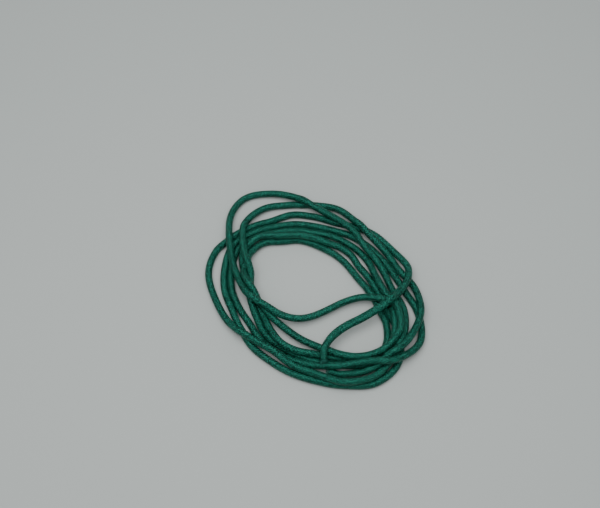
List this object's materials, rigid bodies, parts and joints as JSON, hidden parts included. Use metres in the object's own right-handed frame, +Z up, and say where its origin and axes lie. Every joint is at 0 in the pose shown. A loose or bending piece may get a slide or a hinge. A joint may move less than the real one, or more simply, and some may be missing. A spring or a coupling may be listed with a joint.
{
  "type": "cord ligature",
  "caption": "Slim braided cord in a loose oval coil, wound round a single-reed mouthpiece to hold the reed in place.",
  "frame": {"origin": "middle of the coil's footprint, on the surface that the cord lies on", "axes": "+Z up out of the surface; +X to the right and +Y away from a person who looks at the coil with its two cut ends nearest to them"},
  "size_m": [0.0863, 0.0894, 0.0075],
  "materials": {
    "braided_cord": "fine diagonal braid of green filament yarn, satin"
  },
  "bodies": {
    "root": {"coil": "braided_cord", "outer_loop_top": "braided_cord", "outer_loop_left": "braided_cord", "middle_stretch": "braided_cord", "end_stretch": "braided_cord"}
  },
  "joints": []
}
